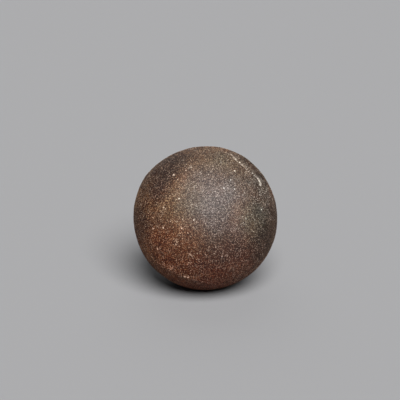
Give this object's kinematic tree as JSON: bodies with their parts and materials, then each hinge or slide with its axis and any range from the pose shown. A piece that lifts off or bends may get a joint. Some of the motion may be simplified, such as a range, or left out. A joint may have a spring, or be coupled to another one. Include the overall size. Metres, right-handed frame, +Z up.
{
  "type": "moqui marble",
  "caption": "Near-round sandstone concretion with a dark iron oxide rind of fine sand grains, low bedding ledges and a small flat spot to stand on.",
  "frame": {"origin": "middle of the marble's outline, at the height of the flat spot that it stands on", "axes": "+Z up, away from the flat spot; -Y towards the front, the side with the upper ledge on its right; +X to the front's right"},
  "size_m": [0.0462, 0.0462, 0.0455],
  "materials": {
    "iron_rind": "dull, fine-grained, with a soft broad sheen"
  },
  "bodies": {
    "root": {"moqui_marble": "iron_rind"}
  },
  "joints": []
}
